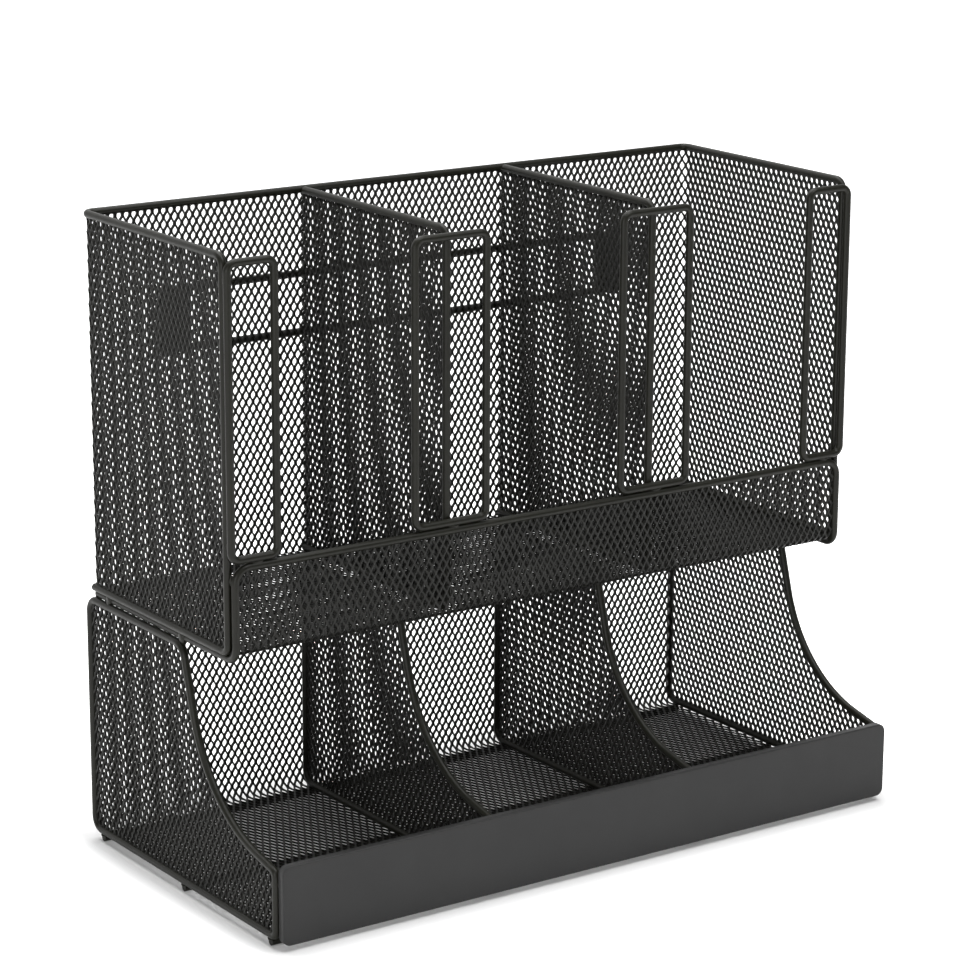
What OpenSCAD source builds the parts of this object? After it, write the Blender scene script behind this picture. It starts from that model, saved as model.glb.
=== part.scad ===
// Two-tier countertop organizer of bent steel wire and expanded steel mesh.
// Three tall open bays stand on three low bays with hollowed sides and a solid front plate.
// Millimetres. X runs along the width, -Y is the front, Z is up, and the feet stand on Z = 0.

/* [Wire] */
// Diameter of the bent steel wire
wire_d = 3.6; // [3:0.1:4]
// Clearance left between pieces that are welded together
weld_gap = 0.1; // [0.05:0.05:0.2]
// Bend radius at the tight corners of the loops and the upper tier
tight_r = 3.8; // [2.5:0.1:5]
// Bend radius at the back corners of the lower frames and the foot of the low front wall
bend_r = 6; // [5:0.5:7]
// Bend radius at the front corners of the lower frames
toe_r = 3; // [2.5:0.5:5]
// Bend radius at the top front corners of the lower frames
shoulder_r = 8; // [6:0.5:10]
// Bend radius at the top front corners of the upper tier
upper_shoulder_r = 4.5; // [3:0.1:8]

/* [Lower tier] */
// Distance between the centrelines of the left and right side wires
side_w = 340; // [300:1:400]
// Depth of the lower side frames between wire centrelines
lower_depth = 163.4; // [150:0.1:180]
// Height of the lower side frames between wire centrelines
lower_h = 112.1; // [105:0.1:125]
// Length of a lower frame's top wire from its back corner to its front corner
top_run = 86.1; // [80:0.1:95]
// Height of the front end of the hollow curve above the bottom wire
front_h = 29.9; // [26:0.1:36]
// Radius of the hollow curve
curve_r = 70; // [50:1:90]
// Lean of the hollow curve's upper end from the vertical, degrees
curve_lean = 16.2; // [12:0.1:20]
// Slope of the hollow curve's lower end, degrees
curve_slope = 12.5; // [9:0.1:15]
// Distance from the back corner of the side frames to the back of the dividers
divider_inset = 4.6; // [4.4:0.1:6]

/* [Upper tier] */
// Depth of the upper side frames between wire centrelines
upper_depth = 121.5; // [110:0.1:132]
// Height of the upper side frames between wire centrelines
upper_h = 174.3; // [150:0.1:220]
// Height of the low front wall's top wire above the floor wire
tray_h = 41.7; // [30:0.1:60]
// Inset of the floor wire from the side wires
tray_inset = 1.7; // [0:0.1:2]
// Bend radius at the top corners of the low front wall
tray_r = 7; // [5:0.5:9]

/* [Retaining loops] */
// Width of the end loops between wire centrelines
end_loop_w = 23; // [16:0.1:30]
// Width of the loops over the dividers between wire centrelines
mid_loop_w = 37.9; // [30:0.1:50]
// Drop of the loops below the top rim
loop_drop = 2.6; // [0:0.1:10]

/* [Front plate] */
// Height of the front plate
plate_h = 36.6; // [30:0.1:42]
// Depth of the front plate with its turned-in edges
plate_depth = 3.7; // [2.5:0.1:4.5]
// Thickness of the front plate's sheet
plate_t = 0.8; // [0.6:0.1:1]
// Overhang of the front plate past the side wire centrelines
plate_over = 0.4; // [0:0.1:1.5]
// Corner radius of the front plate
plate_r = 4; // [2:0.5:5]

/* [Rear stiffener] */
// Height of the lower rail above the upper side frame's bottom wire
rail_z = 106; // [60:0.1:120]
// Distance between the two rails
rail_pitch = 27.9; // [20:0.1:35]
// Distance from a side wire to the near end of the rails
rail_end = 38; // [20:1:60]
// Width of the end plates that join the rails
tab_w = 16; // [8:1:24]
// Thickness of the end plates
tab_t = 1.5; // [1:0.1:2.5]

/* [Mesh] */
// Thickness of the expanded sheet
mesh_t = 0.8; // [0.6:0.1:1.2]
// Pitch of the mesh openings across
cell_w = 15.2; // [11.4:0.1:22.8]
// Pitch of the mesh openings upward
cell_h = 26.4; // [19.8:0.1:39.6]
// Width of the mesh strands
strand_w = 2.2; // [1.2:0.1:3]
// Width of the plain edge along the sheets
edge_w = 1.2; // [0.8:0.1:2]

/* [Feet] */
// Distance of the back foot wire from the back of the dividers
foot_back = 2.5; // [2:0.5:6]
// Distance of the front foot wire behind the front wires
foot_front = 5; // [4:0.5:10]

/* [Hidden] */
$fn = 48;
wire_r = wire_d / 2;
// Distance between the centrelines of two wires that are welded side by side
touch = wire_d + weld_gap;
// Distance from a wire's centreline to a sheet that is welded to it
seat = wire_r + weld_gap;
// Rise from a tier's wire to the floor wire that nests inside it, to the next tenth
tier_step = ceil(10 * sqrt(pow(touch, 2) - pow(tray_inset, 2))) / 10;
half_w = side_w / 2;
divider_x = side_w / 6;

// Depths, from the back to the front; the whole depth is centred on Y = 0
whole_depth = wire_r + lower_depth + touch + seat + plate_t;
side_back_y = whole_depth / 2 - wire_r;
back_y = side_back_y - divider_inset;
lower_front_y = side_back_y - lower_depth;
front_loop_y = lower_front_y - touch;
plate_front_y = front_loop_y - seat - plate_t;
upper_front_y = back_y - upper_depth;
tray_y = upper_front_y - touch;
rail_y = back_y + mesh_t / 2 + seat;

// Levels, from the feet up
foot_z = wire_r;
lower_z = foot_z + touch;
lower_floor_z = foot_z + seat;
lower_divider_z = lower_floor_z + mesh_t + seat;
lower_top_z = lower_z + lower_h;
front_top_z = lower_z + front_h;
tray_z = lower_top_z + tier_step;
tray_top_z = tray_z + tray_h;
upper_z = tray_z + tier_step;
upper_floor_z = tray_z + seat;
upper_divider_z = upper_floor_z + mesh_t + seat;
rim_z = upper_z + upper_h;
loop_z = tray_top_z + touch;
loop_top_z = rim_z - loop_drop;
plate_z = lower_z - seat - plate_t;
front_loop_top_z = plate_z + plate_h - plate_t - seat;

function unit(v) = v / norm(v);
function angle_between(u, v) = acos(max(-1, min(1, u * v)));
function swap_yz(points, x) = [for (p = points) [x, p[0], p[1]]];
function arc(centre, r, from, to, steps = 8) =
    [for (i = [0:steps]) centre + r * [cos(from + (to - from) * i / steps),
                                       sin(from + (to - from) * i / steps)]];
// Where the line through p along u meets the line through q along v
function meet(p, u, q, v) =
    p + u * ((q - p)[0] * v[1] - (q - p)[1] * v[0]) / (u[0] * v[1] - u[1] * v[0]);

// One straight length of round wire
module rod(from, to) {
    run = to - from;
    translate(from)
        rotate([0, acos(run[2] / norm(run)), atan2(run[1], run[0])])
            cylinder(h = norm(run), d = wire_d);
}

// One bend from direction u to direction v, round the corner at p
module elbow(p, u, v, r) {
    turn = angle_between(u, v);
    inward = unit(v - u * (u * v));
    centre = p - u * r * tan(turn / 2) + inward * r;
    side = cross(-inward, u);
    multmatrix([
        [-inward[0], u[0], side[0], centre[0]],
        [-inward[1], u[1], side[1], centre[1]],
        [-inward[2], u[2], side[2], centre[2]],
        [0, 0, 0, 1]])
        rotate_extrude(angle = turn)
            translate([r, 0])
                circle(d = wire_d);
}

// A wire bent along corner points, with one bend radius for each corner
module bent_wire(points, radii, closed = false) {
    n = len(points);
    function before(i) = unit(points[i] - points[(i + n - 1) % n]);
    function after(i) = unit(points[(i + 1) % n] - points[i]);
    function cut(i) = !closed && (i == 0 || i == n - 1) ? 0
        : radii[i] * tan(angle_between(before(i), after(i)) / 2);
    for (i = [0:closed ? n - 1 : n - 2]) {
        j = (i + 1) % n;
        rod(points[i] + after(i) * cut(i), points[j] - after(i) * cut(j));
    }
    for (i = [closed ? 0 : 1:closed ? n - 1 : n - 2]) {
        elbow(points[i], before(i), after(i), radii[i]);
        if (slanted(before(i)) || slanted(after(i))) {
            swollen_join(points[i] - before(i) * cut(i));
            swollen_join(points[i] + after(i) * cut(i));
        }
    }
}
function slanted(dir) = max([for (d = dir) abs(d)]) < 1;

// A swelling too small to see, which keeps slanted lengths of wire in one piece
join_swell = 0.02;
module swollen_join(p) {
    translate(p)
        sphere(d = wire_d + join_swell);
}

// Staggered diamond openings over a width and height, centred on the origin
module openings(w, h) {
    columns = ceil(w / cell_w);
    rows = ceil(h / cell_h);
    half = [cell_w / 2, cell_h / 2];
    open = 1 - strand_w / 2 * norm(half) / (half[0] * half[1]);
    for (i = [-columns:columns], j = [-rows:rows])
        if ((i + j) % 2 == 0)
            translate([i * half[0], j * half[1]])
                polygon([[half[0] * open, 0], [0, half[1] * open],
                         [-half[0] * open, 0], [0, -half[1] * open]]);
}

// Expanded sheet of a given outline, with a plain edge inside that outline
module expanded_sheet(outline, edge, w, h, centre) {
    linear_extrude(mesh_t, center = true)
        difference() {
            polygon(outline);
            intersection() {
                polygon(edge);
                translate(centre)
                    openings(w, h);
            }
        }
}

// Rectangle as corner points, from its low corner to its high corner, drawn in by m
function rectangle(low, high, m = 0) =
    [low + [m, m], [high[0] - m, low[1] + m], high - [m, m], [low[0] + m, high[1] - m]];

module flat_sheet(low, high) {
    expanded_sheet(rectangle(low, high), rectangle(low, high, edge_w),
        high[0] - low[0], high[1] - low[1], (low + high) / 2);
}

// Stands a sheet drawn in Y and Z upright at x
module across(x) {
    translate([x, 0, 0])
        multmatrix([[0, 0, 1, 0], [1, 0, 0, 0], [0, 1, 0, 0], [0, 0, 0, 1]])
            children();
}

// Stands a sheet drawn in X and Z upright at y
module along(y) {
    translate([0, y, 0])
        rotate([90, 0, 0])
            children();
}

// Corners of a lower frame's wire in Y and Z, from the bottom back corner round
lean_dir = [-sin(curve_lean), -cos(curve_lean)];
slope_dir = [-cos(curve_slope), -sin(curve_slope)];
shoulder = [side_back_y - top_run, lower_top_z];
toe = [lower_front_y, front_top_z];
curve_corner = meet(shoulder, lean_dir, toe, slope_dir);
// The hollow curve is kept clear of the bends at its ends
curve_turn = 90 - curve_lean - curve_slope;
end_straight = 0.2;
curve_room = min(
    norm(curve_corner - shoulder) - shoulder_r * tan((90 - curve_lean) / 2),
    norm(curve_corner - toe) - toe_r * tan((90 - curve_slope) / 2)) - end_straight;
curve_reach = min(curve_r * tan(curve_turn / 2), curve_room);
hollow_r = curve_reach / tan(curve_turn / 2);
hollow_centre = curve_corner - lean_dir * curve_reach + hollow_r * [lean_dir[1], -lean_dir[0]];
function frame_corners(frame_back_y, bottom_z) = [
    [frame_back_y, bottom_z], [frame_back_y, lower_top_z], shoulder,
    curve_corner, toe, [lower_front_y, bottom_z]];
frame_radii = [bend_r, bend_r, shoulder_r, hollow_r, toe_r, toe_r];

// Smallest straight cut across a bend, however tight the bend is
least_cut = 0.5;

// The same corners moved in by m, with a straight cut across each bend
function frame_inside(frame_back_y, bottom_z, m) =
    let (back = frame_back_y - m,
         top = lower_top_z - m,
         front = lower_front_y + m,
         bottom = bottom_z + m,
         top_r = shoulder_r - m,
         back_r = bend_r - m,
         front_r = max(toe_r - m, least_cut),
         inner_shoulder = meet(shoulder + m * [-lean_dir[1], lean_dir[0]], lean_dir,
                               [0, top], [1, 0]),
         inner_toe = meet(toe + m * [-slope_dir[1], slope_dir[0]], slope_dir,
                          [front, 0], [0, 1]))
    concat(
        [[back - back_r, bottom], [back, bottom + back_r]],
        [[back, top - back_r], [back - back_r, top]],
        [inner_shoulder + [top_r, 0], inner_shoulder + lean_dir * top_r],
        arc(hollow_centre, hollow_r + m, -curve_lean, curve_slope - 90, 16),
        [inner_toe - slope_dir * front_r, inner_toe - [0, front_r]],
        [[front, bottom + front_r], [front + front_r, bottom]]);

module lower_frame(x, frame_back_y, bottom_z) {
    bent_wire(swap_yz(frame_corners(frame_back_y, bottom_z), x), frame_radii, closed = true);
}

module lower_frame_mesh(x, frame_back_y, bottom_z) {
    middle = [(frame_back_y + lower_front_y) / 2, (bottom_z + lower_top_z) / 2];
    across(x)
        expanded_sheet(frame_inside(frame_back_y, bottom_z, seat),
            frame_inside(frame_back_y, bottom_z, seat + edge_w),
            lower_depth, lower_h, middle);
}

// Upper tier: the side and back walls hang in one wire that runs from the foot of one
// side, up its front, round the back and down to the foot of the other side
module upper_rim_wire() {
    color("#2b2b2b")
        bent_wire([
            [-half_w, back_y - mesh_t / 2 - weld_gap, upper_z],
            [-half_w, upper_front_y, upper_z],
            [-half_w, upper_front_y, rim_z],
            [-half_w, back_y, rim_z],
            [half_w, back_y, rim_z],
            [half_w, upper_front_y, rim_z],
            [half_w, upper_front_y, upper_z],
            [half_w, back_y - mesh_t / 2 - weld_gap, upper_z]],
            [0, tight_r, upper_shoulder_r, tight_r, tight_r, upper_shoulder_r, tight_r, 0]);
}

// The floor and low front wall share a second wire, laid under the first
tray_x = half_w - tray_inset;
module upper_tray_wire() {
    color("#2b2b2b")
        bent_wire([
            [-tray_x, back_y - mesh_t / 2 - weld_gap, tray_z],
            [-tray_x, tray_y, tray_z],
            [-tray_x, tray_y, tray_top_z],
            [tray_x, tray_y, tray_top_z],
            [tray_x, tray_y, tray_z],
            [tray_x, back_y - mesh_t / 2 - weld_gap, tray_z]],
            [0, bend_r, tray_r, tray_r, bend_r, 0]);
}

module upper_divider_wire(x) {
    color("#2b2b2b")
        bent_wire([
            [x, back_y - mesh_t / 2 - weld_gap, upper_divider_z],
            [x, upper_front_y, upper_divider_z],
            [x, upper_front_y, rim_z],
            [x, back_y - seat - wire_r, rim_z]],
            [0, tight_r, upper_shoulder_r, 0]);
}

// Outline of an upright upper sheet, m inside its wires, plain at the back
function upper_inside(bottom_z, m) =
    let (front = upper_front_y + m,
         back = back_y - mesh_t / 2 - weld_gap - (m - seat),
         foot_r = max(tight_r - m, least_cut),
         top_r = max(upper_shoulder_r - m, least_cut))
    [[front + foot_r, bottom_z + m], [back, bottom_z + m], [back, rim_z - m],
     [front + top_r, rim_z - m], [front, rim_z - m - top_r], [front, bottom_z + m + foot_r]];

module upper_upright_mesh(x, bottom_z) {
    color("#353535")
        across(x)
            expanded_sheet(upper_inside(bottom_z, seat), upper_inside(bottom_z, seat + edge_w),
                upper_depth, upper_h,
                [(back_y + upper_front_y) / 2, (bottom_z + rim_z) / 2]);
}

module upper_back_mesh() {
    color("#353535")
        along(back_y)
            flat_sheet([-half_w - mesh_t / 2, upper_floor_z + mesh_t + weld_gap],
                       [half_w + mesh_t / 2, rim_z - seat]);
}

// The floor sheet lies on the tray wire between the side wires, and its front corners
// are cut back where the tray wire turns up
floor_x = half_w - seat;
notch_x = tray_x - seat;
notch_y = tray_y + bend_r + seat;
function floor_outline(m) =
    let (front = tray_y + mesh_t / 2 + weld_gap + m,
         back = back_y + mesh_t / 2 - m)
    [[-notch_x + m, front], [notch_x - m, front], [notch_x - m, notch_y + m],
     [floor_x - m, notch_y + m], [floor_x - m, back], [-floor_x + m, back],
     [-floor_x + m, notch_y + m], [-notch_x + m, notch_y + m]];

module upper_floor_mesh() {
    color("#353535")
        translate([0, 0, upper_floor_z + mesh_t / 2])
            expanded_sheet(floor_outline(0), floor_outline(edge_w),
                side_w, upper_depth, [0, (back_y + tray_y) / 2]);
}

module upper_front_mesh() {
    color("#353535")
        along(tray_y)
            expanded_sheet(front_wall_outline(0), front_wall_outline(edge_w),
                side_w, tray_h, [0, (tray_z + tray_top_z) / 2]);
}
function front_wall_outline(m) =
    let (side = tray_x - seat - m,
         top = tray_top_z - seat - m,
         r = tray_r - seat - m)
    concat([[-side, upper_floor_z + m], [side, upper_floor_z + m]],
        arc([side - r, top - r], r, 0, 90, 4),
        arc([r - side, top - r], r, 90, 180, 4));

// A closed upright loop stands on the front wall's top wire
module retaining_loop(from_x, to_x) {
    color("#2b2b2b")
        bent_wire([
            [from_x, tray_y, loop_z],
            [to_x, tray_y, loop_z],
            [to_x, tray_y, loop_top_z],
            [from_x, tray_y, loop_top_z]],
            [tight_r, tight_r, tight_r, tight_r], closed = true);
}

// Rear stiffener: two rails behind the back sheet, joined by a flat plate at each end
rail_low_z = upper_z + rail_z;
module rear_rail(z) {
    color("#2b2b2b")
        rod([-half_w + rail_end, rail_y, z], [half_w - rail_end, rail_y, z]);
}

module rear_tab(x) {
    color("#2b2b2b")
        translate([x, rail_y - tab_t / 2, rail_low_z + seat])
            cube([tab_w, tab_t, rail_pitch - 2 * seat]);
}

// Lower tier
module lower_back_mesh() {
    color("#353535")
        along(back_y + seat + mesh_t / 2)
            flat_sheet([-floor_x, lower_floor_z + mesh_t + weld_gap],
                       [floor_x, tray_z + wire_r]);
}

module lower_floor_mesh() {
    color("#353535")
        translate([0, 0, lower_floor_z + mesh_t / 2])
            flat_sheet([-floor_x, front_loop_y + seat],
                       [floor_x, back_y + seat + mesh_t]);
}

module back_cross_wire() {
    color("#2b2b2b")
        rod([-tray_x + touch, back_y, tray_z], [tray_x - touch, back_y, tray_z]);
}

module front_loop_wire() {
    loop_x = half_w + plate_over - plate_t - seat;
    color("#2b2b2b")
        bent_wire([
            [-loop_x, front_loop_y, lower_z],
            [loop_x, front_loop_y, lower_z],
            [loop_x, front_loop_y, front_loop_top_z],
            [-loop_x, front_loop_y, front_loop_top_z]],
            [tight_r, tight_r, tight_r, tight_r], closed = true);
}

module foot_wire(y) {
    color("#2b2b2b")
        rod([-half_w, y, foot_z], [half_w, y, foot_z]);
}

module rounded_rectangle(w, h, r) {
    translate([-w / 2, r])
        square([w, h - 2 * r]);
    translate([-w / 2 + r, 0])
        square([w - 2 * r, h]);
    for (x = [-w / 2 + r, w / 2 - r], z = [r, h - r])
        translate([x, z])
            circle(r);
}

// The plate is a shallow pressed pan: a flat face with its edges turned in round the wire loop
module front_plate() {
    plate_w = side_w + 2 * plate_over;
    color("#424242")
        translate([0, plate_front_y + plate_depth, plate_z])
            difference() {
                rotate([90, 0, 0])
                    linear_extrude(plate_depth)
                        rounded_rectangle(plate_w, plate_h, plate_r);
                translate([0, 0, plate_t])
                    rotate([90, 0, 0])
                        linear_extrude(plate_depth - plate_t)
                            rounded_rectangle(plate_w - 2 * plate_t, plate_h - 2 * plate_t,
                                plate_r - plate_t);
            }
}

upper_rim_wire();
upper_tray_wire();
upper_divider_wire(-divider_x);  // upper_divider_wire_left
upper_divider_wire(divider_x);  // upper_divider_wire_right
retaining_loop(-half_w, end_loop_w - half_w);  // retaining_loop_left
retaining_loop(-divider_x - mid_loop_w / 2, -divider_x + mid_loop_w / 2);  // retaining_loop_mid_left
retaining_loop(divider_x - mid_loop_w / 2, divider_x + mid_loop_w / 2);  // retaining_loop_mid_right
retaining_loop(half_w - end_loop_w, half_w);  // retaining_loop_right
upper_back_mesh();
upper_upright_mesh(-half_w, upper_z);  // upper_side_mesh_left
upper_upright_mesh(half_w, upper_z);  // upper_side_mesh_right
upper_upright_mesh(-divider_x, upper_divider_z);  // upper_divider_mesh_left
upper_upright_mesh(divider_x, upper_divider_z);  // upper_divider_mesh_right
upper_floor_mesh();
upper_front_mesh();
rear_rail(rail_low_z + rail_pitch);  // rear_rail_upper
rear_rail(rail_low_z);  // rear_rail_lower
rear_tab(-half_w + rail_end);  // rear_tab_left
rear_tab(half_w - rail_end - tab_w);  // rear_tab_right
color("#2b2b2b")  // lower_side_frame_left
    lower_frame(-half_w, side_back_y, lower_z);
color("#2b2b2b")  // lower_side_frame_right
    lower_frame(half_w, side_back_y, lower_z);
color("#2b2b2b")  // lower_divider_frame_left
    lower_frame(-divider_x, back_y, lower_divider_z);
color("#2b2b2b")  // lower_divider_frame_right
    lower_frame(divider_x, back_y, lower_divider_z);
color("#353535")  // lower_side_mesh_left
    lower_frame_mesh(-half_w, side_back_y, lower_z);
color("#353535")  // lower_side_mesh_right
    lower_frame_mesh(half_w, side_back_y, lower_z);
color("#353535")  // lower_divider_mesh_left
    lower_frame_mesh(-divider_x, back_y, lower_divider_z);
color("#353535")  // lower_divider_mesh_right
    lower_frame_mesh(divider_x, back_y, lower_divider_z);
lower_back_mesh();
lower_floor_mesh();
back_cross_wire();
front_loop_wire();
foot_wire(back_y - foot_back);  // foot_wire_back
foot_wire((back_y - foot_back + lower_front_y + foot_front) / 2);  // foot_wire_middle
foot_wire(lower_front_y + foot_front);  // foot_wire_front
front_plate();
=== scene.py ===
"""Dresses the packed wire and mesh organizer: sheets, wires, welds, front plate and studio."""

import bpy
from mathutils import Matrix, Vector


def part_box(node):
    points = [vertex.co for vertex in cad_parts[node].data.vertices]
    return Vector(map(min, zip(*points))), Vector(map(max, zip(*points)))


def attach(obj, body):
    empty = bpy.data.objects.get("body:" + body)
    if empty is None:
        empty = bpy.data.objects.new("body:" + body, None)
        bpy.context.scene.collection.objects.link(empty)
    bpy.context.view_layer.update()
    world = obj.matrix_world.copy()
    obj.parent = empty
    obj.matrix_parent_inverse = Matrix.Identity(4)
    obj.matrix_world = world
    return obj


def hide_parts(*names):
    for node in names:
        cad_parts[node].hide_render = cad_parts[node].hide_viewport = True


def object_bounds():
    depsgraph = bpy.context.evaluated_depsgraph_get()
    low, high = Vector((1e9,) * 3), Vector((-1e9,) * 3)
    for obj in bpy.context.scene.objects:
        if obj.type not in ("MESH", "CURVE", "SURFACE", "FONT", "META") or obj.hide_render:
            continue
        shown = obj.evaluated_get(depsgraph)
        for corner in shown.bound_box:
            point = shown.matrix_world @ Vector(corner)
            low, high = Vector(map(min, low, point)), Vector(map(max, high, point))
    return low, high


bl_info = {
    "name": "Wire and Mesh Organizer",
    "version": (1, 0, 0),
    "blender": (4, 5, 0),
    "location": "3D View > Sidebar > Organizer",
    "description": "Builds the expanded sheets, welds, plate and finishes of a countertop organizer",
    "category": "Object",
}

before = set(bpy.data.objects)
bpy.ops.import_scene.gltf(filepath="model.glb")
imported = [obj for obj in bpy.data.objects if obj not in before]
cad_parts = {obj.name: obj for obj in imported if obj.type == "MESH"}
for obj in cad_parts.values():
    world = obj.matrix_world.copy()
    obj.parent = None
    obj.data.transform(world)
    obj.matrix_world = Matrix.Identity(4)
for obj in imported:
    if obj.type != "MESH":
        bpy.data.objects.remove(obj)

import math
import random

import bmesh
import bpy
import numpy as np
from bpy.props import FloatProperty, FloatVectorProperty, IntProperty, PointerProperty
from mathutils import Matrix, Vector, noise

MM = 0.001
CAD_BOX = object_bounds()
SHEETS = sorted(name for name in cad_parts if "mesh" in name)
WIRES = sorted(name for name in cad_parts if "mesh" not in name and "plate" not in name)
# (direction in the flat sheet, sign) of each side
SIDES = {"left": (0, -1), "right": (0, 1), "bottom": (1, -1), "top": (1, 1)}
# Sheets folded from one blank, as the first sheet, its side, the second sheet and its side
FOLDS = (
    ("upper_back_mesh", "left", "upper_side_mesh_left", "right"),
    ("upper_back_mesh", "right", "upper_side_mesh_right", "right"),
    ("upper_floor_mesh", "bottom", "upper_front_mesh", "bottom"),
    ("lower_back_mesh", "bottom", "lower_floor_mesh", "top"),
)
# Sides that end in the open, and neither at a wire nor in a fold
CUT_SIDES = {
    "upper_back_mesh": ("bottom",),
    "upper_divider_mesh_left": ("right",),
    "upper_divider_mesh_right": ("right",),
    "upper_floor_mesh": ("top",),
    "lower_back_mesh": ("left", "right", "top"),
    "lower_floor_mesh": ("left", "right", "bottom"),
}


class SheetSettings(bpy.types.PropertyGroup):
    """Expanded steel sheet"""

    pitch_across: FloatProperty(
        name="Pitch Across",
        description="Distance between openings along a row",
        default=3.82 * MM,
        unit="LENGTH",
    )
    pitch_up: FloatProperty(
        name="Pitch Up",
        description="Distance between openings along a column",
        default=6.58 * MM,
        unit="LENGTH",
    )
    bond_width: FloatProperty(
        name="Bond Width",
        description="Width of the bonds between openings that lie side by side",
        default=1.35 * MM,
        unit="LENGTH",
    )
    bond_length: FloatProperty(
        name="Bond Length",
        description="Length of the bonds between openings that lie end to end",
        default=2.3 * MM,
        unit="LENGTH",
    )
    bond_side: FloatProperty(
        name="Bond Side",
        description="Length of the straight stretch where an opening runs along a bond",
        default=0.9 * MM,
        unit="LENGTH",
    )
    tip_width: FloatProperty(
        name="Tip Width",
        description="Width of an opening's blunt tips",
        default=0.3 * MM,
        unit="LENGTH",
    )
    thickness: FloatProperty(
        name="Thickness",
        description="Thickness of the sheet",
        default=0.9 * MM,
        unit="LENGTH",
    )
    relief: FloatProperty(
        name="Relief",
        description="Tilt of the bonds out of the sheet's plane",
        default=0.25 * MM,
        unit="LENGTH",
    )
    fold_radius: FloatProperty(
        name="Fold Radius",
        description="Radius of the folds between a sheet's walls",
        default=3.6 * MM,
        unit="LENGTH",
    )
    wire_reach: FloatProperty(
        name="Reach to the Wire",
        description="How far a sheet runs past its solid, into the wire that it is welded to",
        default=1.5 * MM,
        unit="LENGTH",
    )
    cut_reach: FloatProperty(
        name="Reach at a Cut",
        description="How far a sheet runs past its solid where it ends in the open",
        default=0.2 * MM,
        unit="LENGTH",
    )


class FinishSettings(bpy.types.PropertyGroup):
    """Powder coats"""

    wire_colour: FloatVectorProperty(
        name="Wire Colour",
        description="Colour of the powder coat on the wires",
        default=(0.0075, 0.0075, 0.0045),
        subtype="COLOR",
    )
    sheet_colour: FloatVectorProperty(
        name="Sheet Colour",
        description="Colour of the powder coat on the expanded sheets",
        default=(0.0090, 0.0090, 0.0075),
        subtype="COLOR",
    )
    plate_colour: FloatVectorProperty(
        name="Plate Colour",
        description="Colour of the powder coat on the front plate",
        default=(0.025, 0.025, 0.025),
        subtype="COLOR",
    )
    wire_roughness: FloatProperty(
        name="Wire Roughness",
        description="Roughness of the coat on the wires",
        default=0.42,
        subtype="FACTOR",
    )
    gloss: FloatProperty(
        name="Gloss",
        description="How strongly the coats mirror light, where 0.5 is that of bare plastic",
        default=0.22,
        subtype="FACTOR",
    )
    plate_roughness: FloatProperty(
        name="Plate Roughness",
        description="Roughness of the coat on the front plate",
        default=0.46,
        subtype="FACTOR",
    )


class PlateSettings(bpy.types.PropertyGroup):
    """Pressed front plate"""

    edge_radius: FloatProperty(
        name="Edge Radius",
        description="Radius of the pressed edge round the front plate",
        default=0.7 * MM,
        unit="LENGTH",
    )
    corner_radius: FloatProperty(
        name="Corner Radius",
        description="Radius of the front plate's corners",
        default=4 * MM,
        unit="LENGTH",
    )
    sheet: FloatProperty(
        name="Sheet",
        description="Thickness of the front plate's sheet",
        default=0.8 * MM,
        unit="LENGTH",
    )
    steps: IntProperty(
        name="Corner Steps",
        description="Number of facets round each corner and edge",
        default=8,
        min=2,
    )


class WeldSettings(bpy.types.PropertyGroup):
    """Resistance welds between wires"""

    bead: FloatProperty(
        name="Bead Size",
        description="Radius of a weld's bead",
        default=1.25 * MM,
        unit="LENGTH",
    )
    unevenness: FloatProperty(
        name="Unevenness",
        description="How uneven a bead's surface is, as a share of its radius",
        default=0.22,
        subtype="FACTOR",
    )
    seed: IntProperty(
        name="Seed",
        description="Seed of the beads' shapes",
        default=7,
    )


class StudioSettings(bpy.types.PropertyGroup):
    """Camera and studio"""

    target: FloatVectorProperty(
        name="Target",
        description="Point that the camera looks at",
        default=(-5.1 * MM, 2.0 * MM, 165.3 * MM),
        subtype="XYZ_LENGTH",
        unit="LENGTH",
    )
    distance: FloatProperty(
        name="Distance",
        description="Distance from the camera to its target",
        default=1.5575,
        unit="LENGTH",
    )
    azimuth: FloatProperty(
        name="Azimuth",
        description="Turn of the view to the right of the organizer's depth",
        default=math.radians(34.72),
        unit="ROTATION",
    )
    elevation: FloatProperty(
        name="Elevation",
        description="Height of the camera above the horizon, as an angle",
        default=math.radians(14.92),
        unit="ROTATION",
    )
    roll: FloatProperty(
        name="Roll",
        description="Roll of the camera about its line of sight",
        default=math.radians(0.245),
        unit="ROTATION",
    )
    lens: FloatProperty(
        name="Lens",
        description="Focal length in millimetres on a 36 mm frame",
        default=123.98,
    )
    top_power: FloatProperty(
        name="Top Light",
        description="Power of the large soft light above the organizer",
        default=34.0,
        unit="POWER",
    )
    front_power: FloatProperty(
        name="Front Light",
        description="Power of the soft light above the camera's side",
        default=14.0,
        unit="POWER",
    )
    side_power: FloatProperty(
        name="Side Light",
        description="Power of the soft light on the organizer's left",
        default=9.0,
        unit="POWER",
    )
    world_strength: FloatProperty(
        name="World",
        description="Strength of the even light from all round",
        default=0.2,
    )
    near_lift: FloatProperty(
        name="Near Lift",
        description="How much the floor is brightened towards white under the organizer",
        default=0.08,
    )
    far_lift: FloatProperty(
        name="Far Lift",
        description="How much the floor and the backdrop are brightened away from the organizer",
        default=0.95,
    )


SETTINGS = {
    "organizer_sheet": SheetSettings,
    "organizer_finish": FinishSettings,
    "organizer_plate": PlateSettings,
    "organizer_weld": WeldSettings,
    "organizer_studio": StudioSettings,
}


# Node helpers


def new_material(name):
    """An empty node material with its Principled shader: (material, nodes, links, shader)."""
    material = bpy.data.materials.new(name)
    material.use_nodes = True
    tree = material.node_tree
    return material, tree.nodes, tree.links, tree.nodes["Principled BSDF"]


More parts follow.
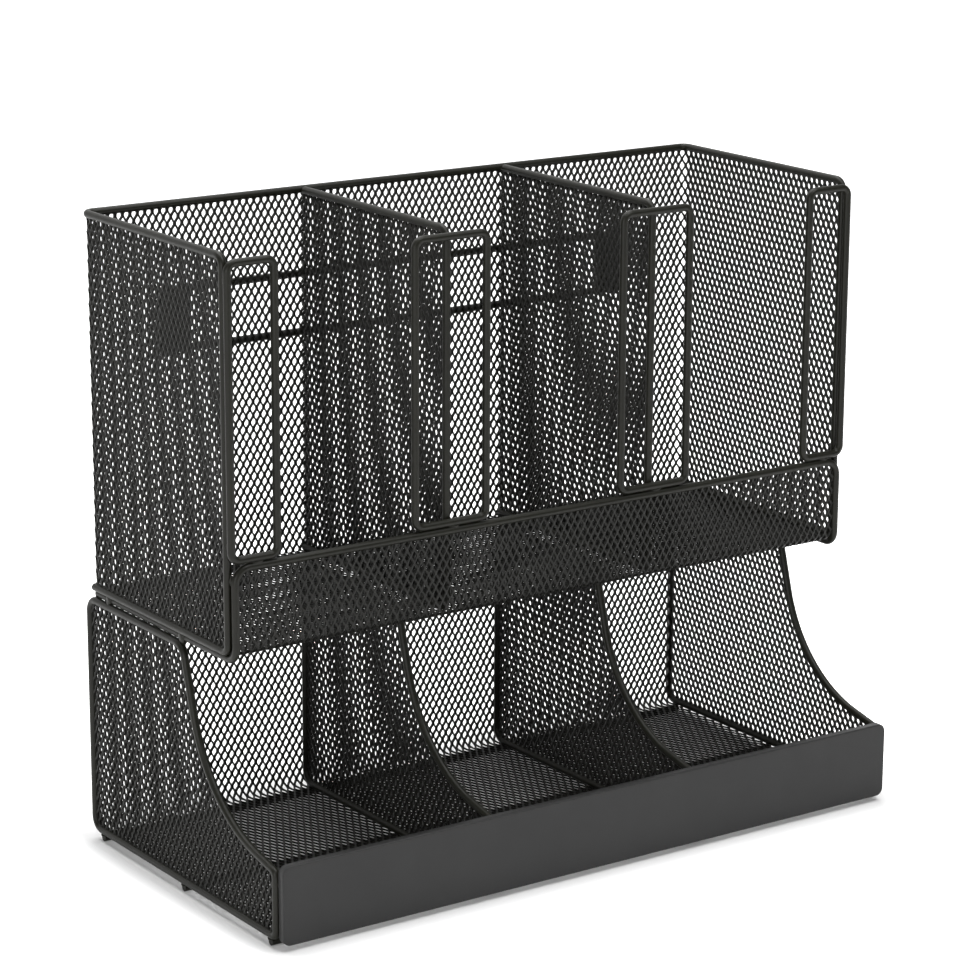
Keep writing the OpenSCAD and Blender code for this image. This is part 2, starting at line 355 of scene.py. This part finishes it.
def noise_texture(nodes, links, scale, detail=4.0, roughness=0.55):
    """Noise in the organizer's own coordinates, at scale waves per metre."""
    place = nodes.new("ShaderNodeTexCoord")
    texture = nodes.new("ShaderNodeTexNoise")
    texture.inputs["Scale"].default_value = scale
    texture.inputs["Detail"].default_value = detail
    texture.inputs["Roughness"].default_value = roughness
    links.new(place.outputs["Object"], texture.inputs["Vector"])
    return texture


def ramp_between(nodes, links, source, low, high, start=0.35, stop=0.65):
    """A colour ramp from one colour to another over a stretch of a texture's value."""
    ramp = nodes.new("ShaderNodeValToRGB")
    ramp.color_ramp.elements[0].position = start
    ramp.color_ramp.elements[0].color = (*low, 1)
    ramp.color_ramp.elements[1].position = stop
    ramp.color_ramp.elements[1].color = (*high, 1)
    links.new(source, ramp.inputs["Fac"])
    return ramp


def roughness_between(nodes, links, source, shader, low, high):
    """Drives the shader's roughness from a texture's value."""
    span = nodes.new("ShaderNodeMapRange")
    span.inputs["From Min"].default_value = 0.3
    span.inputs["From Max"].default_value = 0.7
    span.inputs["To Min"].default_value = low
    span.inputs["To Max"].default_value = high
    links.new(source, span.inputs["Value"])
    links.new(span.outputs["Result"], shader.inputs["Roughness"])


def bump_from(nodes, links, source, shader, depth, strength):
    """Raises the surface a little by a texture's value."""
    bump = nodes.new("ShaderNodeBump")
    bump.inputs["Distance"].default_value = depth
    bump.inputs["Strength"].default_value = strength
    links.new(source, bump.inputs["Height"])
    links.new(bump.outputs["Normal"], shader.inputs["Normal"])


def powder_coat(name, colour, roughness, grain, depth, spread=0.16):
    """Powder coat: an even dark colour, faint cloudiness and a fine orange-peel surface."""
    material, nodes, links, shader = new_material(name)
    clouds = noise_texture(nodes, links, 45.0)
    low = [c * (1 - spread) for c in colour]
    high = [c * (1 + spread) for c in colour]
    tone = ramp_between(nodes, links, clouds.outputs["Fac"], low, high)
    links.new(tone.outputs["Color"], shader.inputs["Base Color"])
    peel = noise_texture(nodes, links, grain, detail=3.0)
    roughness_between(
        nodes, links, peel.outputs["Fac"], shader, roughness - 0.05, roughness + 0.05
    )
    bump_from(nodes, links, peel.outputs["Fac"], shader, depth, 0.35)
    shader.inputs["Specular IOR Level"].default_value = bpy.context.scene.organizer_finish.gloss
    return material


def wire_finish():
    """The one material of all the wires."""
    finish = bpy.context.scene.organizer_finish
    found = bpy.data.materials.get("wire_powder_coat")
    return found or powder_coat(
        "wire_powder_coat", finish.wire_colour, finish.wire_roughness, 1400.0, 0.02 * MM
    )


# Mesh helpers


def add_piece(name, mesh, material, slot, *replaced):
    """Links a finished mesh as a piece that rides on the organizer's one body."""
    piece = bpy.data.objects.new(name, mesh)
    bpy.context.scene.collection.objects.link(piece)
    piece.data.materials.append(material)
    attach(piece, "root")
    if replaced:
        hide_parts(*replaced)
    return piece


def mesh_from(bm, name, smooth=True):
    """Turns a bmesh into a mesh and frees it."""
    bmesh.ops.recalc_face_normals(bm, faces=bm.faces)
    mesh = bpy.data.meshes.new(name)
    bm.to_mesh(mesh)
    bm.free()
    for face in mesh.polygons:
        face.use_smooth = smooth
    return mesh


# Expanded sheets


class Plane:
    """Where a flat CAD sheet lies, the corners of its outline and the folds at its sides."""

    def __init__(self, node, radius):
        low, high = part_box(node)
        self.axis = min(range(3), key=lambda k: high[k] - low[k])
        self.axes = [k for k in range(3) if k != self.axis]
        self.middle = (low[self.axis] + high[self.axis]) / 2
        self.outward = -1 if self.axis == 2 else math.copysign(1, self.middle)
        self.low = np.array([low[k] for k in self.axes])
        self.high = np.array([high[k] for k in self.axes])
        self.outline = self.trace(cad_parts[node].data, high[self.axis])
        self.origin = (self.low + self.high) / 2
        self.radius = radius
        self.bends = {}

    def trace(self, mesh, level):
        """Corners of the longest loop of edges round the sheet's flat face."""
        follows = {}
        for face in mesh.polygons:
            points = [mesh.vertices[i].co for i in face.vertices]
            if any(abs(p[self.axis] - level) > 1e-6 for p in points):
                continue
            corners = [(round(p[self.axes[0]], 6), round(p[self.axes[1]], 6)) for p in points]
            for a, b in zip(corners, corners[1:] + corners[:1]):
                if a in follows.get(b, ()):
                    follows[b].remove(a)
                else:
                    follows.setdefault(a, []).append(b)
        loops = []
        while any(follows.values()):
            start = next(a for a, after in follows.items() if after)
            loop = [start]
            while follows[loop[-1]]:
                loop.append(follows[loop[-1]].pop())
            loops.append(np.array(loop[:-1]))
        return max(loops, key=lambda loop: float(np.prod(np.ptp(loop, axis=0))))

    def bend(self, side, corner):
        """Starts a fold at one side, so that the next sheet lies at the corner."""
        self.bends[side] = corner - SIDES[side][1] * self.radius

    def seam(self, side):
        """Where the flat sheet stops, in the middle of a fold."""
        return self.bends[side] + SIDES[side][1] * math.pi / 4 * self.radius

    def move_out(self, cuts, wire_reach, cut_reach):
        """Moves each edge of the outline out: into its wire, to its seam or to its cut."""
        runs = np.roll(self.outline, -1, axis=0) - self.outline
        ways = runs / np.linalg.norm(runs, axis=1)[:, None]
        turns = np.roll(ways[:, 0], 1) * ways[:, 1] - np.roll(ways[:, 1], 1) * ways[:, 0]
        starts = self.outline[abs(turns) > 1e-4]
        stops = np.roll(starts, -1, axis=0)
        ways = (stops - starts) / np.linalg.norm(stops - starts, axis=1)[:, None]
        area = (starts[:, 0] * stops[:, 1] - stops[:, 0] * starts[:, 1]).sum()
        normals = np.stack([ways[:, 1], -ways[:, 0]], axis=1) * math.copysign(1, area)
        reach = np.full(len(starts), wire_reach)
        for side, (k, sign) in SIDES.items():
            level = (self.low, None, self.high)[sign + 1][k]
            on_side = (abs(starts[:, k] - level) < 1e-5) & (abs(stops[:, k] - level) < 1e-5)
            if side in self.bends:
                reach[on_side] = abs(self.seam(side) - level)
            elif side in cuts:
                reach[on_side] = cut_reach
        moved = starts + normals * reach[:, None]
        before, ways_before = np.roll(moved, 1, axis=0), np.roll(ways, 1, axis=0)
        cross = ways_before[:, 0] * ways[:, 1] - ways_before[:, 1] * ways[:, 0]
        gap = moved - before
        along = (gap[:, 0] * ways[:, 1] - gap[:, 1] * ways[:, 0]) / cross
        self.outline = before + ways_before * along[:, None]

    def inside(self, points):
        """How far each point lies inside the outline."""
        starts = self.outline
        runs = np.roll(starts, -1, axis=0) - starts
        offsets = points[:, None, :] - starts[None, :, :]
        along = np.clip((offsets * runs).sum(2) / (runs**2).sum(1), 0, 1)
        distance = np.linalg.norm(offsets - along[:, :, None] * runs, axis=2).min(1)
        stops = starts + runs
        crosses = (starts[:, 1] > points[:, 1:]) != (stops[:, 1] > points[:, 1:])
        rise = np.where(runs[:, 1] == 0, 1, runs[:, 1])
        at = starts[:, 0] + (points[:, 1:] - starts[:, 1]) / rise * runs[:, 0]
        within = (crosses & (points[:, :1] < at)).sum(1) % 2 == 1
        return np.where(within, distance, -distance)

    def place(self, across, up, out):
        """Where a point of the flat sheet, raised out of it, lies once the folds are made."""
        flat = [across, up]
        for side, start in self.bends.items():
            k, sign = SIDES[side]
            turn = sign * (flat[k] - start) / self.radius
            if turn > 0:
                flat[k] = start + sign * (self.radius + out) * math.sin(turn)
                out = (self.radius + out) * math.cos(turn) - self.radius
        point = [0.0, 0.0, 0.0]
        point[self.axes[0]], point[self.axes[1]] = flat
        point[self.axis] = self.middle + self.outward * out
        return point


def fold_together(first, side, second, next_side):
    """Folds two sheets at their common corner, with one pattern running over the fold."""
    first.bend(side, second.middle)
    second.bend(next_side, first.middle)
    k, sign = SIDES[side]
    next_k, next_sign = SIDES[next_side]
    past = first.origin[k] - first.seam(side)
    second.origin[next_k] = second.seam(next_side) - sign * next_sign * past
    second.origin[1 - next_k] = first.origin[1 - k]


def lay_lattice(bm, plane, sheet):
    """Strands and bonds round staggered openings, over at least the plane's outline."""
    step = np.array([sheet.pitch_across / 2, sheet.pitch_up / 2])
    side = step[0] - sheet.bond_width / 2
    tip = step[1] - sheet.bond_length / 2
    flat_x, flat_y = sheet.tip_width / 2, sheet.bond_side / 2
    corners = {
        "right_low": (side, -flat_y, 0),
        "right_high": (side, flat_y, 0),
        "top_right": (flat_x, tip, -sheet.relief),
        "top_left": (-flat_x, tip, -sheet.relief),
        "left_high": (-side, flat_y, 0),
        "left_low": (-side, -flat_y, 0),
        "bottom_left": (-flat_x, -tip, sheet.relief),
        "bottom_right": (flat_x, -tip, sheet.relief),
    }
    first = np.floor((plane.outline.min(0) - plane.origin) / step).astype(int) - 1
    last = np.ceil((plane.outline.max(0) - plane.origin) / step).astype(int) + 1
    opening = {}
    for i in range(first[0], last[0] + 1):
        for j in range(first[1], last[1] + 1):
            if (i + j) % 2 == 0:
                x, y = plane.origin + step * (i, j)
                opening[i, j] = {
                    name: bm.verts.new((x + dx, y + dy, dz))
                    for name, (dx, dy, dz) in corners.items()
                }
    for (i, j), here in opening.items():
        right = opening.get((i + 1, j + 1))
        left = opening.get((i - 1, j + 1))
        above = opening.get((i, j + 2))
        if right:
            bm.faces.new(
                (here["right_high"], right["bottom_left"], right["left_low"], here["top_right"])
            )
        if left:
            bm.faces.new(
                (here["left_high"], here["top_left"], left["right_low"], left["bottom_right"])
            )
        if right and left and above:
            bm.faces.new(
                (here["top_left"], here["top_right"], right["left_low"], right["left_high"],
                 above["bottom_right"], above["bottom_left"], left["right_high"], left["right_low"])
            )


def trim_to(bm, plane):
    """Cuts a flat layer along the sheet's outline."""
    bm.verts.ensure_lookup_table()
    layer = bm.verts.layers.float.new("inside")
    points = np.array([v.co[:2] for v in bm.verts])
    for vert, value in zip(bm.verts, plane.inside(points)):
        vert[layer] = value if value else 1e-9
    for edge in list(bm.edges):
        a, b = edge.verts
        if a[layer] * b[layer] < 0:
            share = a[layer] / (a[layer] - b[layer])
            cut = bmesh.utils.edge_split(edge, a, share)[1]
            cut[layer] = 0.0
    for face in list(bm.faces):
        cuts = [v for v in face.verts if v[layer] == 0.0]
        if len(cuts) == 2 and any(v[layer] < 0 for v in face.verts):
            bmesh.utils.face_split(face, cuts[0], cuts[1])
    outside = [f for f in bm.faces if any(v[layer] < 0 for v in f.verts)]
    bmesh.ops.delete(bm, geom=outside, context="FACES")
    loose = [v for v in bm.verts if not v.link_faces]
    bmesh.ops.delete(bm, geom=loose, context="VERTS")


def thickened(bm, plane, thickness, name):
    """A closed mesh from a flat layer: both faces, and walls round the layer's open edges."""
    bm.verts.index_update()
    points = []
    for vert in bm.verts:
        x, y, z = vert.co
        points.append(plane.place(x, y, z + thickness / 2))
        points.append(plane.place(x, y, z - thickness / 2))
    faces = []
    for face in bm.faces:
        ring = [v.index * 2 for v in face.verts]
        faces.append(ring)
        faces.append([i + 1 for i in reversed(ring)])
    for edge in bm.edges:
        if len(edge.link_loops) == 1:
            loop = edge.link_loops[0]
            a = loop.vert.index * 2
            b = loop.link_loop_next.vert.index * 2
            faces.append((a + 1, b + 1, b, a))
    bm.free()
    mesh = bpy.data.meshes.new(name)
    mesh.from_pydata(points, [], faces)
    if plane.outward * (-1 if plane.axis == 1 else 1) < 0:
        mesh.flip_normals()
    mesh.update()
    return mesh


class ORGANIZER_OT_sheets(bpy.types.Operator):
    """Lay expanded sheets at their real pitch in place of the coarse solids"""

    bl_idname = "organizer.sheets"
    bl_label = "Expanded Sheets"

    def execute(self, context):
        sheet = context.scene.organizer_sheet
        finish = context.scene.organizer_finish
        coat = powder_coat(
            "sheet_powder_coat", finish.sheet_colour, finish.wire_roughness + 0.06, 1800.0, 0.01 * MM
        )
        planes = {node: Plane(node, sheet.fold_radius) for node in SHEETS}
        for first, side, second, next_side in FOLDS:
            fold_together(planes[first], side, planes[second], next_side)
        for node, plane in planes.items():
            plane.move_out(CUT_SIDES.get(node, ()), sheet.wire_reach, sheet.cut_reach)
            bm = bmesh.new()
            lay_lattice(bm, plane, sheet)
            trim_to(bm, plane)
            name = node.replace("mesh", "expanded_sheet")
            add_piece(name, thickened(bm, plane, sheet.thickness, name), coat, "mesh", node)
        return {"FINISHED"}


# Wires


class ORGANIZER_OT_wires(bpy.types.Operator):
    """Give every bent wire its powder coat"""

    bl_idname = "organizer.wires"
    bl_label = "Wire Finish"

    def execute(self, context):
        coat = wire_finish()
        for node in WIRES:
            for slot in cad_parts[node].material_slots:
                slot.material = coat
        return {"FINISHED"}


# Welds


def wire_lines():
    """Centrelines of the wires that welds sit on, by name, in metres."""
    radius = (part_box("foot_wire_front")[1].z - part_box("foot_wire_front")[0].z) / 2
    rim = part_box("upper_rim_wire")
    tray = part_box("upper_tray_wire")
    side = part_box("lower_side_frame_right")
    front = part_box("front_loop_wire")
    return {
        "radius": radius,
        "side_x": rim[1].x - radius,
        "rim_front_y": rim[0].y + radius,
        "rim_bottom_z": rim[0].z + radius,
        "tray_x": tray[1].x - radius,
        "tray_y": tray[0].y + radius,
        "tray_bottom_z": tray[0].z + radius,
        "tray_top_z": tray[1].z - radius,
        "side_top_z": side[1].z - radius,
        "side_front_y": side[0].y + radius,
        "side_bottom_z": side[0].z + radius,
        "front_x": front[1].x - radius,
        "front_y": front[0].y + radius,
    }


def add_bead(bm, place, size, rng, unevenness):
    """One uneven bead, longest along its own largest size."""
    made = bmesh.ops.create_icosphere(bm, subdivisions=3, radius=1.0)
    shift = Vector((rng.random(), rng.random(), rng.random())) * 50
    for vert in made["verts"]:
        swell = 1 + unevenness * noise.noise(vert.co * 1.6 + shift)
        vert.co = Vector(c * s for c, s in zip(vert.co * swell, size)) + Vector(place)


def upper_welds(lines, bead):
    """Welds of the retaining loops and the low front wall."""
    joint_y = (lines["rim_front_y"] + lines["tray_y"]) / 2
    places = []
    for node in ("retaining_loop_left", "retaining_loop_right"):
        low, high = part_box(node)
        side = math.copysign(lines["side_x"], low.x)
        for z in (low.z + 6.5 * bead, high.z - 7.5 * bead):
            places.append(((side, joint_y, z), (bead, bead, 1.7 * bead)))
    for node in WIRES:
        if "retaining_loop" in node:
            low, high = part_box(node)
            z = (low.z + lines["radius"] + lines["tray_top_z"]) / 2
            middle = (low.x + high.x) / 2 + 1.3 * bead
            places.append(((middle, lines["tray_y"], z), (2.6 * bead, bead, bead)))
    for side in (-1, 1):
        x = side * (lines["side_x"] + lines["tray_x"]) / 2
        z = lines["tray_top_z"] - 4.2 * bead
        places.append(((x, joint_y, z), (bead, bead, 2.0 * bead)))
    return places


def middle_welds(lines, bead):
    """Welds that stand the upper tier on the lower one."""
    low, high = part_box("lower_side_frame_right")
    depth = high.y - low.y
    x = lines["side_x"] - 0.7 * bead
    places = []
    for side in (-1, 1):
        for share in (0.12, 0.52):
            place = (side * x, high.y - share * depth, lines["tray_bottom_z"])
            places.append((place, (1.6 * bead, 2.2 * bead, 2.8 * bead)))
    return places


def lower_welds(lines, bead):
    """Welds of the foot wires and of the wire loop behind the plate."""
    joint_y = (lines["side_front_y"] + lines["front_y"]) / 2
    places = []
    for side in (-1, 1):
        x = side * (lines["side_x"] + lines["front_x"]) / 2
        z = lines["side_bottom_z"] + 20 * bead
        places.append(((x, joint_y, z), (1.1 * bead, 1.1 * bead, 2.4 * bead)))
        for node in ("foot_wire_back", "foot_wire_middle", "foot_wire_front"):
            low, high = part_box(node)
            z = (high.z - lines["radius"] + lines["side_bottom_z"]) / 2
            places.append(((side * lines["side_x"], (low.y + high.y) / 2, z), (bead,) * 3))
    return places


class ORGANIZER_OT_welds(bpy.types.Operator):
    """Add the small weld beads that join the wires"""

    bl_idname = "organizer.welds"
    bl_label = "Weld Beads"

    def execute(self, context):
        weld = context.scene.organizer_weld
        lines = wire_lines()
        rng = random.Random(weld.seed)
        groups = {
            "weld_beads_upper": upper_welds,
            "weld_beads_middle": middle_welds,
            "weld_beads_lower": lower_welds,
        }
        for name, places_of in groups.items():
            bm = bmesh.new()
            for place, size in places_of(lines, weld.bead):
                add_bead(bm, place, size, rng, weld.unevenness)
            add_piece(name, mesh_from(bm, name), wire_finish(), "wire")
        return {"FINISHED"}


# Front plate


def rounded_ring(low, high, radius, inset, steps):
    """Corners of a rounded rectangle in X and Z, drawn in by inset."""
    r = max(radius - inset, 0.1 * MM)
    ring = []
    middles = (
        (high.x - inset - r, high.z - inset - r, 0),
        (low.x + inset + r, high.z - inset - r, 1),
        (low.x + inset + r, low.z + inset + r, 2),
        (high.x - inset - r, low.z + inset + r, 3),
    )
    for x, z, quarter in middles:
        for k in range(steps + 1):
            turn = math.pi / 2 * (quarter + k / steps)
            ring.append((x + r * math.cos(turn), z + r * math.sin(turn)))
    return ring


def plate_rings(low, high, plate):
    """(inset, depth) of each ring, from the flange's back edge over the face and back inside."""
    depth = high.y - low.y
    rings = [(0.0, depth)]
    for k in range(plate.steps + 1):
        turn = math.pi / 2 * k / plate.steps
        rings.append(
            (
                plate.edge_radius * (1 - math.cos(turn)),
                plate.edge_radius * (1 - math.sin(turn)),
            )
        )
    inner = plate.sheet * 1.2
    return rings, [(inner, plate.sheet), (plate.sheet, plate.sheet * 1.2), (plate.sheet, depth)]


class ORGANIZER_OT_plate(bpy.types.Operator):
    """Press the front plate with rolled edges and a turned-in flange"""

    bl_idname = "organizer.plate"
    bl_label = "Front Plate"

    def execute(self, context):
        plate = context.scene.organizer_plate
        finish = context.scene.organizer_finish
        low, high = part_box("front_plate")
        outer, inner = plate_rings(low, high, plate)
        bm = bmesh.new()
        loops = []
        for inset, depth in outer + inner:
            ring = rounded_ring(low, high, plate.corner_radius, inset, plate.steps)
            loops.append([bm.verts.new((x, low.y + depth, z)) for x, z in ring])
        face_at = len(outer) - 1
        for k, (a, b) in enumerate(zip(loops, loops[1:] + loops[:1])):
            if k == face_at:
                continue
            for i in range(len(a)):
                j = (i + 1) % len(a)
                bm.faces.new((a[i], a[j], b[j], b[i]))
        bm.faces.new(loops[face_at])
        bm.faces.new(loops[face_at + 1])
        mesh = mesh_from(bm, "front_plate_pressed")
        for face in mesh.polygons:
            face.use_smooth = len(face.vertices) == 4
        coat = powder_coat(
            "plate_powder_coat", finish.plate_colour, finish.plate_roughness, 900.0, 0.03 * MM, 0.06
        )
        add_piece("front_plate_pressed", mesh, coat, "plate", "front_plate")
        return {"FINISHED"}


# Studio


def studio_white(near_lift, far_lift):
    """White sweep that keeps the shadow at the organizer and is plain white round it."""
    material, nodes, links, shader = new_material("studio_white")
    shader.inputs["Roughness"].default_value = 0.9
    shader.inputs["Specular IOR Level"].default_value = 0.1
    grain = noise_texture(nodes, links, 4.0)
    tone = ramp_between(nodes, links, grain.outputs["Fac"], (0.80,) * 3, (0.815,) * 3)
    links.new(tone.outputs["Color"], shader.inputs["Base Color"])
    place = nodes.new("ShaderNodeTexCoord")
    split = nodes.new("ShaderNodeSeparateXYZ")
    links.new(place.outputs["Object"], split.inputs["Vector"])
    away = []
    for k, (axis, pace) in enumerate((("X", 1.7), ("Y", 1.0))):
        size = nodes.new("ShaderNodeMath")
        size.operation = "ABSOLUTE"
        links.new(split.outputs[axis], size.inputs[0])
        past = nodes.new("ShaderNodeMath")
        past.operation = "MULTIPLY_ADD"
        past.inputs[1].default_value = pace
        past.inputs[2].default_value = -CAD_BOX[1][k] * pace
        links.new(size.outputs["Value"], past.inputs[0])
        away.append(past.outputs["Value"])
    distance = nodes.new("ShaderNodeMath")
    distance.operation = "MAXIMUM"
    links.new(away[0], distance.inputs[0])
    links.new(away[1], distance.inputs[1])
    lift = nodes.new("ShaderNodeMapRange")
    lift.interpolation_type = "SMOOTHSTEP"
    lift.inputs["From Min"].default_value = 0.0
    lift.inputs["From Max"].default_value = 0.038
    lift.inputs["To Min"].default_value = near_lift
    lift.inputs["To Max"].default_value = far_lift
    links.new(distance.outputs["Value"], lift.inputs["Value"])
    path = nodes.new("ShaderNodeLightPath")
    seen = path.outputs["Is Camera Ray"]
    for ray in ("Is Glossy Ray", "Is Transmission Ray"):
        either = nodes.new("ShaderNodeMath")
        either.operation = "MAXIMUM"
        links.new(seen, either.inputs[0])
        links.new(path.outputs[ray], either.inputs[1])
        seen = either.outputs["Value"]
    strength = nodes.new("ShaderNodeMath")
    strength.operation = "MULTIPLY"
    links.new(lift.outputs["Result"], strength.inputs[0])
    links.new(seen, strength.inputs[1])
    shader.inputs["Emission Color"].default_value = (1, 1, 1, 1)
    links.new(strength.outputs["Value"], shader.inputs["Emission Strength"])
    return material


def studio_sweep(half, back, bend, height):
    """A floor that turns up into a backdrop."""
    line = [(-half, 0.0)]
    for k in range(17):
        turn = math.pi / 2 * k / 16
        line.append((back - bend + bend * math.sin(turn), bend - bend * math.cos(turn)))
    line.append((back, height))
    bm = bmesh.new()
    rows = [[bm.verts.new((x, y, z)) for x in (-half, half)] for y, z in line]
    for a, b in zip(rows, rows[1:]):
        bm.faces.new((a[0], a[1], b[1], b[0]))
    return mesh_from(bm, "studio_sweep")


def area_light(name, place, target, size, power):
    """A soft square light at a place, facing a target."""
    lamp = bpy.data.lights.new(name, "AREA")
    lamp.shape = "SQUARE"
    lamp.size = size
    lamp.energy = power
    light = bpy.data.objects.new(name, lamp)
    light.location = place
    light.rotation_euler = (Vector(target) - Vector(place)).to_track_quat("-Z", "Y").to_euler()
    bpy.context.scene.collection.objects.link(light)


def even_world(strength):
    """Even light all round."""
    world = bpy.data.worlds.new("studio_world")
    world.use_nodes = True
    sky = world.node_tree.nodes["Background"]
    sky.inputs["Color"].default_value = (1, 1, 1, 1)
    sky.inputs["Strength"].default_value = strength
    bpy.context.scene.world = world


def place_camera(studio):
    """The photograph's camera, from its angles and its target."""
    turn, rise = studio.azimuth, studio.elevation
    ahead = Vector(
        (math.sin(turn) * math.cos(rise), math.cos(turn) * math.cos(rise), -math.sin(rise))
    )
    level = Vector((math.cos(turn), -math.sin(turn), 0))
    above = level.cross(ahead)
    right = level * math.cos(studio.roll) + above * math.sin(studio.roll)
    up = above * math.cos(studio.roll) - level * math.sin(studio.roll)
    data = bpy.data.cameras.new("studio_camera")
    data.lens = studio.lens
    data.sensor_width = 36.0
    data.sensor_fit = "AUTO"
    camera = bpy.data.objects.new("studio_camera", data)
    place = Vector(studio.target) - ahead * studio.distance
    axes = Matrix((right, up, -ahead)).transposed().to_4x4()
    camera.matrix_world = Matrix.Translation(place) @ axes
    bpy.context.scene.collection.objects.link(camera)
    bpy.context.scene.camera = camera


class ORGANIZER_OT_studio(bpy.types.Operator):
    """Set the white floor, soft lights and camera"""

    bl_idname = "organizer.studio"
    bl_label = "Studio"

    def execute(self, context):
        studio = context.scene.organizer_studio
        place_camera(studio)
        sweep = bpy.data.objects.new("studio_sweep", studio_sweep(6.0, 3.0, 1.0, 5.0))
        sweep.data.materials.append(studio_white(studio.near_lift, studio.far_lift))
        bpy.context.scene.collection.objects.link(sweep)
        target = Vector(studio.target)
        area_light("top_light", (0.0, 0.35, 1.7), target, 1.4, studio.top_power)
        area_light("front_light", (0.3, -0.8, 1.5), target, 0.8, studio.front_power)
        area_light("side_light", (-1.3, -0.9, 0.5), target, 0.5, studio.side_power)
        even_world(studio.world_strength)
        context.scene.view_settings.view_transform = "Standard"
        return {"FINISHED"}


OPERATORS = (
    ORGANIZER_OT_studio,
    ORGANIZER_OT_wires,
    ORGANIZER_OT_sheets,
    ORGANIZER_OT_welds,
    ORGANIZER_OT_plate,
)


class ORGANIZER_PT_panel(bpy.types.Panel):
    """Lists the organizer's pieces and their settings"""

    bl_idname = "ORGANIZER_PT_panel"
    bl_label = "Organizer"
    bl_space_type = "VIEW_3D"
    bl_region_type = "UI"
    bl_category = "Organizer"

    def draw(self, context):
        for operator in OPERATORS:
            self.layout.operator(operator.bl_idname)
        for name, group in SETTINGS.items():
            box = self.layout.box()
            box.label(text=group.__doc__)
            for prop in group.__annotations__:
                box.prop(getattr(context.scene, name), prop)


CLASSES = (*SETTINGS.values(), *OPERATORS, ORGANIZER_PT_panel)


def register():
    for cls in CLASSES:
        bpy.utils.register_class(cls)
    for name, group in SETTINGS.items():
        setattr(bpy.types.Scene, name, PointerProperty(type=group))


def unregister():
    for name in SETTINGS:
        delattr(bpy.types.Scene, name)
    for cls in reversed(CLASSES):
        bpy.utils.unregister_class(cls)


def main():
    register()
    bpy.ops.organizer.studio()
    bpy.ops.organizer.wires()
    bpy.ops.organizer.sheets()
    bpy.ops.organizer.welds()
    bpy.ops.organizer.plate()


if __name__ == "__main__":
    main()
